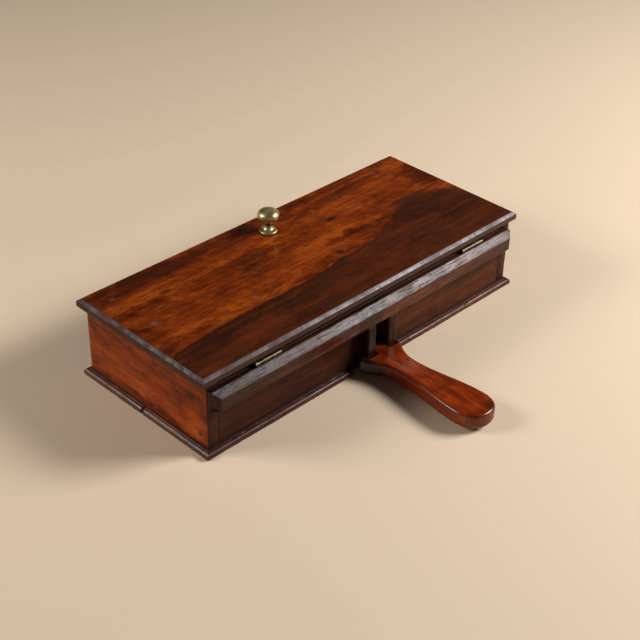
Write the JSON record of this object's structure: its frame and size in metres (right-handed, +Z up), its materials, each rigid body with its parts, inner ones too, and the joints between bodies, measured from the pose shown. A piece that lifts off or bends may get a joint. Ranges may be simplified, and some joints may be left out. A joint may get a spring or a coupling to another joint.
{
  "type": "lidded box with lift lever",
  "caption": "Long low mahogany box with a hinged lid, a turned brass knob and a paddle lever that lifts in a slot between guide posts.",
  "frame": {"origin": "centre of the underside of the bottom board, on the surface that the box stands on", "axes": "+X along the box's length, +Y away from the lever and the lid hinges, +Z up"},
  "size_m": [0.4133, 0.3119, 0.1078],
  "materials": {
    "lid_mahogany": "figured mahogany, waxed",
    "case_mahogany": "mahogany, waxed, worn",
    "trim_mahogany": "dark mahogany, satin",
    "lever_mahogany": "red mahogany, polished by handling",
    "inner_wood": "bare aged wood",
    "aged_brass": "aged, satin",
    "dark_steel": "dark, dull"
  },
  "bodies": {
    "case": {"back_left_block": "inner_wood", "back_moulding": "trim_mahogany", "back_right_block": "inner_wood", "back_wall": "case_mahogany", "bottom_board": "inner_wood", "front_left_block": "inner_wood", "front_left_moulding": "trim_mahogany", "front_right_block": "inner_wood", "front_right_moulding": "trim_mahogany", "front_wall": "case_mahogany", "front_wall_nail_1": "dark_steel", "front_wall_nail_2": "dark_steel", "front_wall_nail_3": "dark_steel", "front_wall_nail_4": "dark_steel", "hinge_case_screw_1": "aged_brass", "hinge_case_screw_2": "aged_brass", "hinge_case_screw_3": "aged_brass", "hinge_case_screw_4": "aged_brass", "hinge_rail": "trim_mahogany", "left_end_nail_1": "dark_steel", "left_end_nail_2": "dark_steel", "left_end_nail_3": "dark_steel", "left_end_nail_4": "dark_steel", "left_end_wall": "case_mahogany", "left_front_moulding": "trim_mahogany", "left_guide_post": "trim_mahogany", "left_hinge_lower_leaf": "aged_brass", "left_hinge_pin": "aged_brass", "left_pivot_block": "inner_wood", "left_rear_moulding": "trim_mahogany", "lever_pivot_pin": "dark_steel", "pivot_block_screw_1": "dark_steel", "pivot_block_screw_2": "dark_steel", "pivot_block_screw_3": "dark_steel", "pivot_block_screw_4": "dark_steel", "right_end_nail_1": "dark_steel", "right_end_nail_2": "dark_steel", "right_end_nail_3": "dark_steel", "right_end_nail_4": "dark_steel", "right_end_wall": "case_mahogany", "right_guide_post": "trim_mahogany", "right_hinge_lower_leaf": "aged_brass", "right_hinge_pin": "aged_brass", "right_moulding": "trim_mahogany", "right_pivot_block": "inner_wood"},
    "lid": {"brass_knob": "aged_brass", "hinge_lid_screw_1": "aged_brass", "hinge_lid_screw_2": "aged_brass", "hinge_lid_screw_3": "aged_brass", "hinge_lid_screw_4": "aged_brass", "knob_nut": "aged_brass", "knob_rose": "aged_brass", "knob_washer": "aged_brass", "left_hinge_upper_leaf": "aged_brass", "lid_board": "lid_mahogany", "right_hinge_upper_leaf": "aged_brass"},
    "lever": {"lever_handle": "lever_mahogany"}
  },
  "joints": [
    {"name": "lid_hinge", "type": "hinge", "parent": "case", "child": "lid", "pos_m": [0, -0.0853, 0.0719], "axis": [1, 0, 0], "range_deg": [0, 110]},
    {"name": "lever_pivot", "type": "hinge", "parent": "case", "child": "lever", "pos_m": [0.003, 0.045, 0.02], "axis": [-1, 0, 0], "range_deg": [0, 10]}
  ]
}
